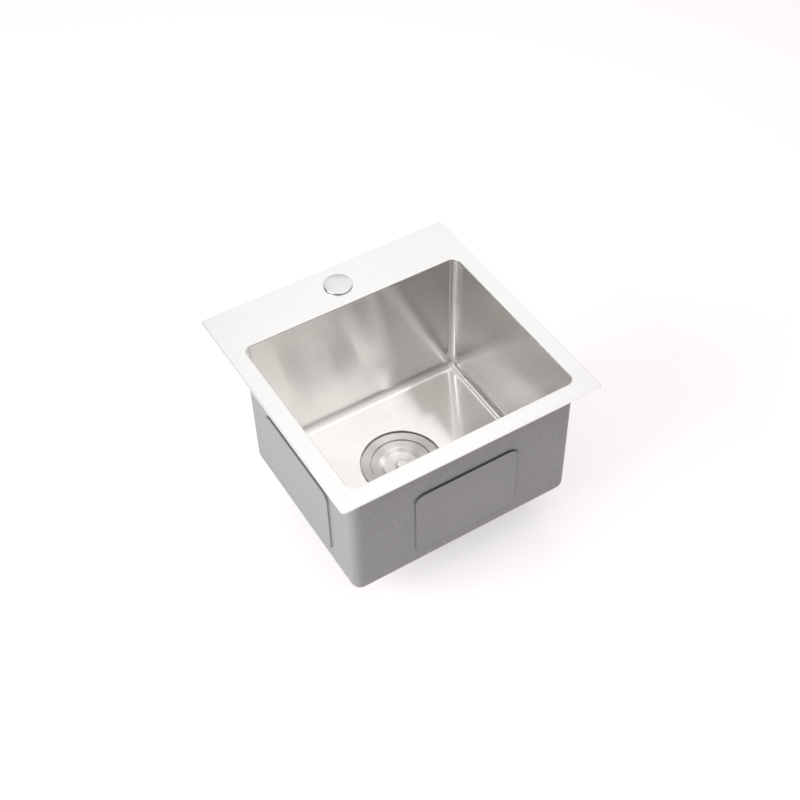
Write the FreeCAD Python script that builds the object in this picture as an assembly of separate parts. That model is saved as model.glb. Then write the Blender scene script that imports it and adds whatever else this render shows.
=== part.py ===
"""Square drop-in bar sink with a tap ledge, a basket drain and a plugged tap hole.

Millimetres. X runs to the right, Y to the tap ledge at the back, Z up. The origin is the middle of
the rim on the worktop's surface, which is the underside of the seal strip below the rim.
"""
import FreeCAD, Part
import math
import os

# Rim plate
rim_width = 381.0
rim_depth = 381.0
rim_thickness = 3.0
rim_corner_radius = 5.0
rim_edge_round = 0.8
side_ledge = 24.5
front_ledge = 24.5
tap_ledge = 76.5

# Seal strip under the rim
seal_width = 10.0
seal_thickness = 2.0
seal_inset = 4.0

# Bowl, folded from sheet and welded to the rim plate
steel = 1.2
bowl_depth = 214.0
bowl_radius = 12.0
bottom_fall = 6.0
drain_setback = 19.0

# Seat for the drain flange, pressed into the bottom
seat_gap = 1.8
seat_step = 1.5
drain_hole_gap = 0.6

# Sound pads and the sprayed coat over them
coat = 0.8
coat_top_gap = 4.0
coat_seat_gap = 2.0
coat_pad_round = 1.2
pad_thickness = 3.0
pad_corner_radius = 13.0
pad_top_gap = 72.0
pad_foot_gap = 30.0
front_pad_end_gap = 88.0
side_pad_end_gap = 57.0
bottom_pad_seat_gap = 15.0
bottom_pad_wall_gap = 27.0
bottom_pad_end_gap = 45.0

# Tap hole and its plug
tap_hole_radius = 17.5
tap_hole_setback = 38.0
plug_overlap = 2.5
plug_edge = 1.8
plug_crown = 1.8
plug_edge_round = 0.8
plug_seal_thickness = 0.8
plug_seal_width = 1.8
plug_seal_inset = 0.4
spring_sheet = 0.6
spring_plate_radius = 11.0
spring_leg_width = 6.0
spring_leg_length = 12.0
spring_legs = 4
spring_wall_gap = 0.6

# Drain body, pressed from sheet with a threaded cup, and the outlet brazed under it
flange_radius = 57.0
lip_radius = 44.6
lip_round = 1.0
body_sheet = 1.2
cup_radius = 40.2
outlet_radius = 23.9
outlet_wall = 2.4
outlet_length = 24.0
outlet_collar_radius = 29.0
outlet_collar_height = 2.5

# Rings that clamp the drain body to the bowl
flange_seal_thickness = 1.0
flange_seal_inset = 2.0
gasket_thickness = 4.0
washer_thickness = 1.0
clamp_ring_overhang = 12.0
locknut_height = 9.0
locknut_base_height = 3.5
locknut_wall = 6.0
locknut_lugs = 6
locknut_lug_width = 7.0
locknut_rim_inset = 2.0
thread_clearance = 0.06

# Waste basket that lifts out of the drain body
basket_sheet = 0.8
basket_rim_clearance = 0.4
basket_wall_gap = 1.5
basket_floor_radius = 30.0
basket_depth = 30.0
basket_mouth_round = 0.7
basket_floor_round = 4.0
basket_floor_gap = 4.0
perforation_radius = 1.5
floor_perforation_ring = 8.0
floor_perforation_step = 7.0
floor_perforation_rings = 3
floor_perforations = 6
wall_perforation_step = 7.0
wall_perforation_rows = 3
wall_perforations = 20

# Strap handle welded to the basket's floor
handle_width = 9.0
handle_sheet = 1.0
handle_span = 28.0
handle_foot = 6.0
handle_bend = 3.0
handle_lid_gap = 2.0

# Sealing lid that covers the basket, with its knob
lid_sheet = 1.0
lid_gap = 0.9
lid_drop = 2.2
lid_edge_round = 0.4
dish_mouth_radius = 32.0
dish_floor_radius = 26.0
dish_depth = 5.0
dish_round = 2.0
lid_seal_thickness = 1.0
lid_seal_width = 4.5
lid_seal_inset = 0.7
knob_radius = 8.7
knob_head = 3.0
knob_round = 1.5
knob_neck_radius = 5.5
knob_foot_radius = 7.0
knob_foot_height = 1.2
knob_top_drop = 0.3
screw_radius = 2.0
screw_head_radius = 3.8
screw_head_height = 2.4
screw_depth = 4.0
screw_fit = 0.02

# Levels, from the worktop at zero
deck_bottom = seal_thickness
deck_top = deck_bottom + rim_thickness
foot_z = deck_top - bowl_depth
crease_z = foot_z - bottom_fall
seat_z = crease_z - seat_step
flange_top = seat_z + flange_seal_thickness + body_sheet
lid_top = flange_top - lid_drop
dish_floor_z = lid_top - dish_depth
lid_seal_top = lid_top - lid_sheet
basket_rim_top = lid_seal_top - lid_seal_thickness
ledge_z = basket_rim_top - basket_sheet
basket_floor_z = basket_rim_top - basket_depth
cup_floor_z = basket_floor_z - basket_sheet - basket_floor_gap
outlet_top = cup_floor_z - body_sheet
outlet_bottom = outlet_top - outlet_length
gasket_top = seat_z - steel
washer_top = gasket_top - gasket_thickness
locknut_top = washer_top - washer_thickness
knob_top = flange_top - knob_top_drop
screw_head_top = dish_floor_z - lid_sheet
handle_top = screw_head_top - screw_head_height - handle_lid_gap

# Places in plan
bowl_half_width = rim_width / 2 - side_ledge
bowl_front = -rim_depth / 2 + front_ledge
bowl_back = rim_depth / 2 - tap_ledge
bowl_middle = (bowl_front + bowl_back) / 2
drain_y = bowl_middle + drain_setback
tap_y = rim_depth / 2 - tap_hole_setback
seat_radius = flange_radius + seat_gap
lip_outer_radius = lip_radius + body_sheet
drain_hole_radius = lip_outer_radius + drain_hole_gap
clamp_ring_radius = drain_hole_radius + clamp_ring_overhang

X_AXIS = FreeCAD.Vector(1, 0, 0)
Z_AXIS = FreeCAD.Vector(0, 0, 1)
ORIGIN = FreeCAD.Vector(0, 0, 0)
DRAIN = FreeCAD.Vector(0, drain_y, 0)
TAP_HOLE = FreeCAD.Vector(0, tap_y, 0)
FULL_TURN = 360.0
QUARTER_TURN = 90.0
OVERCUT = 1.0
LEVEL_TOLERANCE = 1e-6
RADIUS_TOLERANCE = 1e-3


def save(name, shape):
    """Write one piece of the sink as its own file."""
    assert shape.isValid(), name
    shape.exportStep("parts/" + name + ".step")


def box(x_low, x_high, y_low, y_high, z_low, z_high):
    """Plain block between two corners."""
    corner = FreeCAD.Vector(x_low, y_low, z_low)
    return Part.makeBox(x_high - x_low, y_high - y_low, z_high - z_low, corner)


def upright_edges(shape):
    """Straight edges that run along Z."""
    found = []
    for edge in shape.Edges:
        run = edge.Vertexes[-1].Point.sub(edge.Vertexes[0].Point)
        if abs(run.z) > abs(run.x) + abs(run.y):
            found.append(edge)
    return found


def level_edges(shape, level):
    """Edges that lie in the plane at one height."""
    found = []
    for edge in shape.Edges:
        limits = edge.BoundBox
        if abs(limits.ZMin - level) < LEVEL_TOLERANCE and abs(limits.ZMax - level) < LEVEL_TOLERANCE:
            found.append(edge)
    return found


def level_cross_edges(shape, level):
    """Edges along Y that lie in the plane at one height."""
    return [edge for edge in level_edges(shape, level) if edge.BoundBox.XLength < LEVEL_TOLERANCE]


def rounded_slab(x_low, x_high, y_low, y_high, z_low, z_high, radius):
    """Block with its four upright edges rounded."""
    block = box(x_low, x_high, y_low, y_high, z_low, z_high)
    return block.makeFillet(radius, upright_edges(block))


def disc(radius, z_low, z_high, centre=ORIGIN):
    """Round plate between two heights."""
    base = FreeCAD.Vector(centre.x, centre.y, z_low)
    return Part.makeCylinder(radius, z_high - z_low, base)


def ring(inner, outer, z_low, z_high, centre=ORIGIN):
    """Flat ring between two heights."""
    hole = disc(inner, z_low - OVERCUT, z_high + OVERCUT, centre)
    return disc(outer, z_low, z_high, centre).cut(hole)


def turned(outline, centre):
    """Solid of revolution about an upright axis, from corners given as radius and height."""
    corners = [FreeCAD.Vector(radius, 0, height) for radius, height in outline]
    face = Part.Face(Part.makePolygon(corners + corners[:1]))
    solid = face.revolve(ORIGIN, Z_AXIS, FULL_TURN)
    solid.translate(centre)
    return solid


def round_rim(shape, radius, height, rounding):
    """Round the circular edge of a turned piece that has this radius and height."""
    found = []
    for edge in level_edges(shape, height):
        if abs(edge.BoundBox.XLength / 2 - radius) < RADIUS_TOLERANCE:
            found.append(edge)
    return shape.makeFillet(rounding, found)


def spread(piece, count, centre):
    """Copies of one piece, evenly spaced around an upright axis."""
    copies = []
    for index in range(count):
        copy = piece.copy()
        copy.rotate(centre, Z_AXIS, FULL_TURN * index / count)
        copies.append(copy)
    return copies


def bottom_prism(grow, top):
    """Solid over the flat of the bowl's bottom, whose underside falls along four creases to the drain."""
    left = bowl_radius - bowl_half_width
    front = bowl_front + bowl_radius
    back = bowl_back - bowl_radius
    plan = [(left, front), (-left, front), (-left, back), (left, back)]
    upper = [FreeCAD.Vector(x, y, top) for x, y in plan]
    lower = [FreeCAD.Vector(x, y, foot_z - grow) for x, y in plan]
    apex = FreeCAD.Vector(DRAIN.x, DRAIN.y, crease_z - grow)
    faces = [Part.Face(Part.makePolygon(upper + upper[:1]))]
    for index in range(len(plan)):
        following = (index + 1) % len(plan)
        wall = [upper[index], upper[following], lower[following], lower[index], upper[index]]
        slope = [lower[index], lower[following], apex, lower[index]]
        faces.append(Part.Face(Part.makePolygon(wall)))
        faces.append(Part.Face(Part.makePolygon(slope)))
    return Part.Solid(Part.Shell(faces))


def tub(grow, top):
    """The bowl's inside form, grown outwards by a distance, from its top down to the creased bottom."""
    half = bowl_half_width + grow
    block = box(-half, half, bowl_front - grow, bowl_back + grow, foot_z - grow, top)
    folds = upright_edges(block) + level_edges(block, foot_z - grow)
    block = block.makeFillet(bowl_radius + grow, folds)
    return block.fuse(bottom_prism(grow, foot_z + bowl_radius))


def drain_seat(grow):
    """The round recess in the bowl's bottom, grown outwards by a distance."""
    return disc(seat_radius + grow, seat_z - grow, foot_z, DRAIN)


def deck_opening(z_low, z_high):
    """Upright block as wide as the bowl's inside."""
    return rounded_slab(-bowl_half_width, bowl_half_width, bowl_front, bowl_back, z_low, z_high, bowl_radius)


def rim_slab(inset, z_low, z_high):
    """Block with the rim's outline, drawn in from its edge."""
    half_width = rim_width / 2 - inset
    half_depth = rim_depth / 2 - inset
    radius = max(rim_corner_radius - inset, rim_edge_round)
    return rounded_slab(-half_width, half_width, -half_depth, half_depth, z_low, z_high, radius)


def make_deck_plate():
    """Thick rim plate with the bowl's opening and the tap hole cut in it."""
    plate = rim_slab(0, deck_bottom, deck_top)
    plate = plate.cut(deck_opening(deck_bottom - OVERCUT, deck_top + OVERCUT))
    plate = plate.makeFillet(rim_edge_round, level_edges(plate, deck_top))
    return plate.cut(disc(tap_hole_radius, deck_bottom - OVERCUT, deck_top + OVERCUT, TAP_HOLE))


def make_rim_seal():
    """Strip of foam stuck under the rim, near its edge."""
    inside = rim_slab(seal_inset + seal_width, -OVERCUT, deck_bottom + OVERCUT)
    return rim_slab(seal_inset, 0, deck_bottom).cut(inside)


def make_bowl(outside):
    """Sheet bowl, with the flange seat and the drain hole pressed and cut in its bottom."""
    inside = tub(0, deck_bottom + OVERCUT).fuse(drain_seat(0))
    hole = disc(drain_hole_radius, seat_z - steel - OVERCUT, foot_z, DRAIN)
    return outside.cut(inside).cut(hole)


def wall_pad(end_gap, wall_length, grow):
    """Pad that lies on the outside of one wall, drawn facing up, with its top towards Y."""
    half = wall_length / 2 - end_gap + grow
    low = foot_z + pad_foot_gap - grow
    high = deck_top - pad_top_gap + grow
    thickness = pad_thickness + grow
    pad = rounded_slab(-half, half, low, high, 0, thickness, pad_corner_radius + grow)
    if grow:
        pad = pad.makeFillet(coat_pad_round, level_edges(pad, thickness))
    return pad


def set_on_wall(pad, turns, base):
    """Stand a pad up against the front wall and turn it to its own wall in quarter turns."""
    pad.rotate(ORIGIN, X_AXIS, QUARTER_TURN)
    pad.rotate(ORIGIN, Z_AXIS, QUARTER_TURN * turns)
    pad.translate(base)
    return pad


def bottom_pad(side, grow):
    """Pad stuck to the creased bottom on one side of the drain seat."""
    near = seat_radius + steel + coat_seat_gap + bottom_pad_seat_gap - grow
    far = bowl_half_width - bottom_pad_wall_gap + grow
    front = bowl_front + bottom_pad_end_gap - grow
    back = bowl_back - bottom_pad_end_gap + grow
    low_x = min(side * near, side * far)
    high_x = max(side * near, side * far)
    low_z = crease_z - steel - pad_thickness - grow
    column = rounded_slab(low_x, high_x, front, back, low_z, foot_z, pad_corner_radius + grow)
    layer = bottom_prism(steel + pad_thickness + grow, foot_z + OVERCUT)
    return column.common(layer).cut(bottom_prism(steel, foot_z + bowl_radius))


def make_pads(grow):
    """Every sound pad by name, each grown outwards by a distance."""
    width = 2 * bowl_half_width
    length = bowl_back - bowl_front
    walls = {
        "front_pad": (front_pad_end_gap, width, 0, FreeCAD.Vector(0, bowl_front - steel, 0)),
        "right_pad": (side_pad_end_gap, length, 1, FreeCAD.Vector(bowl_half_width + steel, bowl_middle, 0)),
        "back_pad": (front_pad_end_gap, width, 2, FreeCAD.Vector(0, bowl_back + steel, 0)),
        "left_pad": (side_pad_end_gap, length, 3, FreeCAD.Vector(-bowl_half_width - steel, bowl_middle, 0)),
    }
    pads = {}
    for name, (end_gap, wall_length, turns, base) in walls.items():
        pads[name] = set_on_wall(wall_pad(end_gap, wall_length, grow), turns, base)
    pads["bottom_left_pad"] = bottom_pad(-1, grow)
    pads["bottom_right_pad"] = bottom_pad(1, grow)
    return pads


def make_undercoat(outside, pads):
    """Sprayed coat over the outside of the bowl and its pads, clear of the drain seat."""
    skin = tub(steel + coat, deck_bottom - coat_top_gap)
    skin = skin.multiFuse(list(make_pads(coat).values()))
    skin = skin.cut(outside)
    for pad in pads.values():
        skin = skin.cut(pad)
    bare = seat_radius + steel + coat_seat_gap
    return skin.cut(disc(bare, crease_z - bowl_depth, foot_z, DRAIN))


def make_drain_body():
    """Pressed drain body: flange, basket ledge and threaded cup with a round mouth in its floor."""
    flange_bottom = flange_top - body_sheet
    cup_inner = cup_radius - body_sheet
    mouth = outlet_radius - outlet_wall
    outline = [
        (flange_radius, flange_bottom),
        (lip_outer_radius, flange_bottom),
        (lip_outer_radius, ledge_z - body_sheet),
        (cup_radius, ledge_z - body_sheet),
        (cup_radius, outlet_top),
        (mouth, outlet_top),
        (mouth, cup_floor_z),
        (cup_inner, cup_floor_z),
        (cup_inner, ledge_z),
        (lip_radius, ledge_z),
        (lip_radius, flange_top),
        (flange_radius, flange_top),
    ]
    body = turned(outline, DRAIN)
    body = round_rim(body, lip_radius, flange_top, lip_round)
    return round_rim(body, flange_radius, flange_top, lip_round)


def make_outlet():
    """Threaded outlet with a collar, brazed under the floor of the cup."""
    collar_bottom = outlet_top - outlet_collar_height
    outline = [
        (outlet_radius - outlet_wall, outlet_top),
        (outlet_collar_radius, outlet_top),
        (outlet_collar_radius, collar_bottom),
        (outlet_radius, collar_bottom),
        (outlet_radius, outlet_bottom),
        (outlet_radius - outlet_wall, outlet_bottom),
    ]
    return turned(outline, DRAIN)


def make_locknut():
    """Large nut that draws the drain body down against the bowl, with lugs for a wrench."""
    bore = cup_radius + thread_clearance
    rim = clamp_ring_radius - locknut_rim_inset
    bottom = locknut_top - locknut_height
    nut = disc(rim, locknut_top - locknut_base_height, locknut_top, DRAIN)
    nut = nut.fuse(disc(bore + locknut_wall, bottom, locknut_top, DRAIN))
    half = locknut_lug_width / 2
    lug = box(bore + locknut_wall / 2, rim - locknut_rim_inset, -half, half, bottom, locknut_top)
    lug.translate(DRAIN)
    nut = nut.multiFuse(spread(lug, locknut_lugs, DRAIN)).removeSplitter()
    return nut.cut(disc(bore, bottom - OVERCUT, locknut_top + OVERCUT, DRAIN))


def basket_floor_holes():
    """Upright drill holes in rings around the middle of the basket's floor."""
    holes = []
    for index in range(floor_perforation_rings):
        place = FreeCAD.Vector(floor_perforation_ring + index * floor_perforation_step, drain_y, 0)
        hole = disc(perforation_radius, cup_floor_z, basket_floor_z + OVERCUT, place)
        holes += spread(hole, floor_perforations * (index + 1), DRAIN)
    return holes


def basket_wall_holes(reach):
    """Level drill holes in rows up the basket's wall."""
    holes = []
    for index in range(wall_perforation_rows):
        height = basket_floor_z + basket_floor_round + index * wall_perforation_step
        start = FreeCAD.Vector(0, drain_y, height + perforation_radius)
        hole = Part.makeCylinder(perforation_radius, reach, start, X_AXIS)
        holes += spread(hole, wall_perforations, DRAIN)
    return holes


def make_basket():
    """Pressed basket: a flat rim that rests on the ledge, and a perforated wall and floor."""
    rim = lip_radius - basket_rim_clearance
    mouth_under = cup_radius - body_sheet - basket_wall_gap
    floor_under = basket_floor_radius + basket_sheet
    under_z = basket_floor_z - basket_sheet
    outline = [
        (rim, ledge_z),
        (mouth_under, ledge_z),
        (floor_under, under_z),
        (0, under_z),
        (0, basket_floor_z),
        (basket_floor_radius, basket_floor_z),
        (mouth_under - basket_sheet, basket_rim_top),
        (rim, basket_rim_top),
    ]
    basket = turned(outline, DRAIN)
    basket = round_rim(basket, basket_floor_radius, basket_floor_z, basket_floor_round)
    basket = round_rim(basket, floor_under, under_z, basket_floor_round + basket_sheet)
    basket = round_rim(basket, mouth_under - basket_sheet, basket_rim_top, basket_mouth_round)
    holes = basket_floor_holes() + basket_wall_holes(cup_radius)
    return basket.cut(Part.makeCompound(holes))


def make_handle():
    """Strap bent to an arch, with feet welded to the basket's floor."""
    half_span = handle_span / 2
    half_width = handle_width / 2
    foot_top = basket_floor_z + handle_sheet
    arch = box(-half_span, half_span, -half_width, half_width, basket_floor_z, handle_top)
    inner_span = half_span - handle_sheet
    inside = box(-inner_span, inner_span, -handle_width, handle_width,
                 basket_floor_z - OVERCUT, handle_top - handle_sheet)
    arch = arch.makeFillet(handle_bend, level_cross_edges(arch, handle_top))
    inside = inside.makeFillet(handle_bend - handle_sheet, level_cross_edges(inside, handle_top - handle_sheet))
    arch = arch.cut(inside)
    foot_end = half_span + handle_foot
    for side in (-1, 1):
        low = min(side * inner_span, side * foot_end)
        high = max(side * inner_span, side * foot_end)
        arch = arch.fuse(box(low, high, -half_width, half_width, basket_floor_z, foot_top))
    arch = arch.removeSplitter()
    arch.translate(DRAIN)
    return arch


def make_lid():
    """Pressed lid: a flat ring with a dish in its middle, so that the knob stays below the flange."""
    edge = lip_radius - lid_gap
    under = dish_floor_z - lid_sheet
    bore = screw_radius + screw_fit
    outline = [
        (edge, lid_seal_top),
        (dish_mouth_radius + lid_sheet / 2, lid_seal_top),
        (dish_floor_radius + lid_sheet / 2, under),
        (bore, under),
        (bore, dish_floor_z),
        (dish_floor_radius - lid_sheet / 2, dish_floor_z),
        (dish_mouth_radius - lid_sheet / 2, lid_top),
        (edge, lid_top),
    ]
    lid = turned(outline, DRAIN)
    lid = round_rim(lid, dish_mouth_radius - lid_sheet / 2, lid_top, dish_round)
    lid = round_rim(lid, dish_floor_radius - lid_sheet / 2, dish_floor_z, dish_round)
    return round_rim(lid, edge, lid_top, lid_edge_round)


def make_lid_seal():
    """Rubber ring under the lid that closes on the basket's rim."""
    outer = lip_radius - lid_gap - lid_seal_inset
    return ring(outer - lid_seal_width, outer, basket_rim_top, lid_seal_top, DRAIN)


def make_lid_knob():
    """Mushroom knob that stands on the floor of the dish."""
    bore = screw_radius + screw_fit
    foot_top = dish_floor_z + knob_foot_height
    outline = [
        (0, knob_top),
        (knob_radius, knob_top),
        (knob_radius, knob_top - knob_head),
        (knob_neck_radius, knob_top - knob_head),
        (knob_neck_radius, foot_top),
        (knob_foot_radius, foot_top),
        (knob_foot_radius, dish_floor_z),
        (bore, dish_floor_z),
        (bore, dish_floor_z + screw_depth),
        (0, dish_floor_z + screw_depth),
    ]
    return round_rim(turned(outline, DRAIN), knob_radius, knob_top, knob_round)


def make_lid_screw():
    """Screw that holds the knob from below the lid."""
    head_bottom = screw_head_top - screw_head_height
    outline = [
        (0, dish_floor_z + screw_depth),
        (screw_radius, dish_floor_z + screw_depth),
        (screw_radius, screw_head_top),
        (screw_head_radius, screw_head_top),
        (screw_head_radius, head_bottom),
        (0, head_bottom),
    ]
    return turned(outline, DRAIN)


def make_plug_cap():
    """Domed steel cap that covers the tap hole."""
    radius = tap_hole_radius + plug_overlap
    bottom = deck_top + plug_seal_thickness
    edge_top = bottom + plug_edge
    sphere_radius = (radius * radius + plug_crown * plug_crown) / (2 * plug_crown)
    dome = Part.makeSphere(sphere_radius, FreeCAD.Vector(0, tap_y, edge_top + plug_crown - sphere_radius))
    cap = disc(radius, bottom, edge_top + plug_crown, TAP_HOLE).common(dome)
    return round_rim(cap, radius, edge_top, plug_edge_round)


def make_plug_seal():
    """Soft ring between the cap and the rim plate."""
    outer = tap_hole_radius + plug_overlap - plug_seal_inset
    return ring(outer - plug_seal_width, outer, deck_top, deck_top + plug_seal_thickness, TAP_HOLE)


def make_plug_spring():
    """Spring-steel cross under the cap, whose bent legs grip the tap hole."""
    top = deck_top + plug_seal_thickness
    reach = tap_hole_radius - spring_wall_gap
    half = spring_leg_width / 2
    reach = math.sqrt(reach * reach - half * half)
    arm = box(0, reach, -half, half, top - spring_sheet, top)
    leg = box(reach - spring_sheet, reach, -half, half, top - spring_leg_length, top)
    bent = arm.fuse(leg).removeSplitter()
    bent.translate(TAP_HOLE)
    plate = disc(spring_plate_radius, top - spring_sheet, top, TAP_HOLE)
    return plate.multiFuse(spread(bent, spring_legs, TAP_HOLE)).removeSplitter()


os.makedirs("parts", exist_ok=True)

bowl_outside = tub(steel, deck_bottom).fuse(drain_seat(steel))
sound_pads = make_pads(0)

save("deck_plate", make_deck_plate())
save("rim_seal", make_rim_seal())
save("bowl", make_bowl(bowl_outside))
save("undercoat", make_undercoat(bowl_outside, sound_pads))
for pad_name, pad_shape in sound_pads.items():
    save(pad_name, pad_shape)

save("drain_body", make_drain_body())
save("drain_outlet", make_outlet())
save("flange_seal", ring(drain_hole_radius, flange_radius - flange_seal_inset,
                         seat_z, seat_z + flange_seal_thickness, DRAIN))
save("drain_gasket", ring(drain_hole_radius, clamp_ring_radius, washer_top, gasket_top, DRAIN))
save("friction_washer", ring(drain_hole_radius, clamp_ring_radius, locknut_top, washer_top, DRAIN))
save("locknut", make_locknut())

save("waste_basket", make_basket())
save("basket_handle", make_handle())
save("drain_lid", make_lid())
save("lid_seal", make_lid_seal())
save("lid_knob", make_lid_knob())
save("lid_screw", make_lid_screw())

save("plug_cap", make_plug_cap())
save("plug_seal", make_plug_seal())
save("plug_spring", make_plug_spring())
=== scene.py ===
"""Looks of a square drop-in bar sink: brushed rim, sprayed bowl, basket drain and plugged tap hole."""
import math
import bmesh
import bpy
from mathutils import Matrix, Vector, noise


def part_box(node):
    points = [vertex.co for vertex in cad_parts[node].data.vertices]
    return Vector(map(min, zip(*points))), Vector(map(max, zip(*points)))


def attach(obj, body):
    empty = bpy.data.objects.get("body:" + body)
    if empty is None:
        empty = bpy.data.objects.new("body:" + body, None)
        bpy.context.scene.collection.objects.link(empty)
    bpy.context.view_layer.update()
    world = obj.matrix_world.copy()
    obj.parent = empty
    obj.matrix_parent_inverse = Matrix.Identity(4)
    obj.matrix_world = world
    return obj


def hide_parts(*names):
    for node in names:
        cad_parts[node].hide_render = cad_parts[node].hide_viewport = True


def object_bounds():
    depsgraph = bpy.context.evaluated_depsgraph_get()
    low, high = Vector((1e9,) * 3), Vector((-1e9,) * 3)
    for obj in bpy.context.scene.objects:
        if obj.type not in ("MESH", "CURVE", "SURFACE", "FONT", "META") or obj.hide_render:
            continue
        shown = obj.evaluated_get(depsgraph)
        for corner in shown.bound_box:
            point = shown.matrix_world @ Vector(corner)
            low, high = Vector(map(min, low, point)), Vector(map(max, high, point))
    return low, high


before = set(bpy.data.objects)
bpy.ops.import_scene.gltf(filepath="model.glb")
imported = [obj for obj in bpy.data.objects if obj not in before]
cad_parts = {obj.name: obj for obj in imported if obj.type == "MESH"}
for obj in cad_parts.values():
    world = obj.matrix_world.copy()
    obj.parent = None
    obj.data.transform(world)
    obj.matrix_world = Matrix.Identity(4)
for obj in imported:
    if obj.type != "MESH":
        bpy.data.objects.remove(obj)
cad_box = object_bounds()
MM = 0.001


# Rim plate: a thick stainless plate, cut out for the bowl and the tap hole, with its edges eased
# and its top brushed straight across. The bowl hangs from it, and it bears on the worktop.
deck_low, deck_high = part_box("deck_plate")
bowl_low, bowl_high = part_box("bowl")
cap_low, cap_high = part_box("plug_cap")
steel = 1.2 * MM
rim_corner_radius = 5.0 * MM
rim_edge_round = 0.8 * MM
rim_side_steps = 24
rim_corner_steps = 8
bowl_radius = 12.0 * MM
bowl_corner_steps = 10
tap_hole_radius = 17.5 * MM
tap_hole_round = 0.3 * MM
tap_hole_steps = 96
edge_steps = 4
flat_margin = 0.8 * MM
weld_distance = 0.0005 * MM
grain_centre_distance = 1.0
grain_span = 0.2
# Colour of the painted shade in the recess round the drain flange.
recess_shade_colour = (0.2, 0.19, 0.185, 1.0)
bowl_inside_low = Vector((bowl_low.x + steel, bowl_low.y + steel))
bowl_inside_high = Vector((bowl_high.x - steel, bowl_high.y - steel))
tap_centre = Vector((0.0, (cap_low.y + cap_high.y) / 2))


class Value:
    """A shader socket that can be used in Python sums. Each sum adds a Math node."""

    def __init__(self, finish, socket):
        self.finish = finish
        self.socket = socket

    def math(self, operation, first, second):
        sockets = {"Value": first, "Value_001": second}
        return self.finish.node("ShaderNodeMath", {"operation": operation}, sockets, "Value")

    def __add__(self, other):
        return self.math("ADD", self, other)

    def __radd__(self, other):
        return self.math("ADD", other, self)

    def __sub__(self, other):
        return self.math("SUBTRACT", self, other)

    def __rsub__(self, other):
        return self.math("SUBTRACT", other, self)

    def __mul__(self, other):
        return self.math("MULTIPLY", self, other)

    def __rmul__(self, other):
        return self.math("MULTIPLY", other, self)

    def __truediv__(self, other):
        return self.math("DIVIDE", self, other)

    def __pow__(self, other):
        return self.math("POWER", self, other)

    def or_more(self, other):
        return self.math("MAXIMUM", self, other)


class Finish:
    """One procedural material, or the surround, made node by node."""

    def __init__(self, owner):
        self.owner = owner
        self.owner.use_nodes = True
        self.tree = owner.node_tree
        self.tree.nodes.clear()

    def node(self, kind, settings, sockets, output):
        """Adds any node: its settings first, then the values or links of its sockets."""
        made = self.tree.nodes.new(kind)
        for name, setting in settings.items():
            setattr(made, name, setting)
        for name, given in sockets.items():
            socket = next(s for s in made.inputs if name in (s.identifier, s.name))
            if isinstance(given, Value):
                self.tree.links.new(given.socket, socket)
            else:
                socket.default_value = given
        if output is None:
            return made
        return Value(self, next(s for s in made.outputs if output in (s.identifier, s.name)))

    def place(self):
        """The point on the piece, in metres in the sink's own frame."""
        return self.node("ShaderNodeTexCoord", {}, {}, "Object")

    def axes(self, vector):
        """The three parts of a vector."""
        split = self.node("ShaderNodeSeparateXYZ", {}, {"Vector": vector}, None)
        return [Value(self, socket) for socket in split.outputs]

    def vector(self, x, y, z):
        return self.node("ShaderNodeCombineXYZ", {}, {"X": x, "Y": y, "Z": z}, "Vector")

    def cloud(self, vector, scale, detail):
        """Soft noise from 0 to 1."""
        sockets = {"Vector": vector, "Scale": scale, "Detail": detail}
        return self.node("ShaderNodeTexNoise", {"noise_dimensions": "3D"}, sockets, "Fac")

    def rise(self, value, low, high):
        """Smooth climb from 0 to 1 between two values."""
        sockets = {"Value": value, "From Min": low, "From Max": high}
        return self.node("ShaderNodeMapRange", {"interpolation_type": "SMOOTHSTEP"}, sockets, "Result")

    def mixed(self, share, first, second):
        """Colour part of the way from one to another."""
        sockets = {"Factor_Float": share, "A_Color": (*first, 1.0), "B_Color": (*second, 1.0)}
        return self.node("ShaderNodeMix", {"data_type": "RGBA"}, sockets, "Result_Color")

    def blended(self, share, first, second):
        """The same, between colours that already vary."""
        sockets = {"Factor_Float": share, "A_Color": first, "B_Color": second}
        return self.node("ShaderNodeMix", {"data_type": "RGBA"}, sockets, "Result_Color")

    def bump(self, height, strength, distance):
        sockets = {"Height": height, "Strength": strength, "Distance": distance}
        return self.node("ShaderNodeBump", {}, sockets, "Normal")

    def surface(self, sockets):
        """Ends the material in one shader."""
        shader = self.node("ShaderNodeBsdfPrincipled", {}, sockets, "BSDF")
        self.node("ShaderNodeOutputMaterial", {}, {"Surface": shader}, None)
        return self.owner


def new_finish(name):
    return Finish(bpy.data.materials.new(name))


def straight_lay(finish, along, across):
    """Grain that runs left to right."""
    x, y, z = finish.axes(finish.place())
    return finish.vector(x * along, y * across, z * across)


def brushed_steel(name, colour, lay, roughness, anisotropy, stain_and_shade=None, sheen_turn=0.25):
    """Satin stainless: fine scratches along the lay, broad faint streaks and hand smudges.

    The roughness may be a function that makes it vary. Another function may give the share of a darker
    colour mixed in, which the bowl uses as painted shade in the drain seat's recess.
    """
    finish = new_finish(name)
    scratches = finish.cloud(lay(finish, 9.0, 1400.0), 1.0, 3.0)
    streaks = finish.cloud(lay(finish, 2.0, 150.0), 1.0, 2.0)
    smudges = finish.cloud(finish.place(), 16.0, 3.0)
    dark = [0.95 * part for part in colour]
    light = [1.03 * part for part in colour]
    tone = finish.mixed(0.6 * streaks + 0.4 * scratches, dark, light)
    # The darker colour mixed in here is painted shade.
    if stain_and_shade:
        tone = finish.blended(stain_and_shade(finish), tone, recess_shade_colour)
    if callable(roughness):
        roughness = roughness(finish)
    return finish.surface({
        "Base Color": tone,
        "Metallic": 1.0,
        "Roughness": roughness + 0.06 * (scratches - 0.5) + 0.06 * (smudges - 0.5),
        "Anisotropic": anisotropy,
        "Anisotropic Rotation": sheen_turn,
        "Normal": finish.bump(scratches, 0.03, 0.05 * MM),
    })


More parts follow.
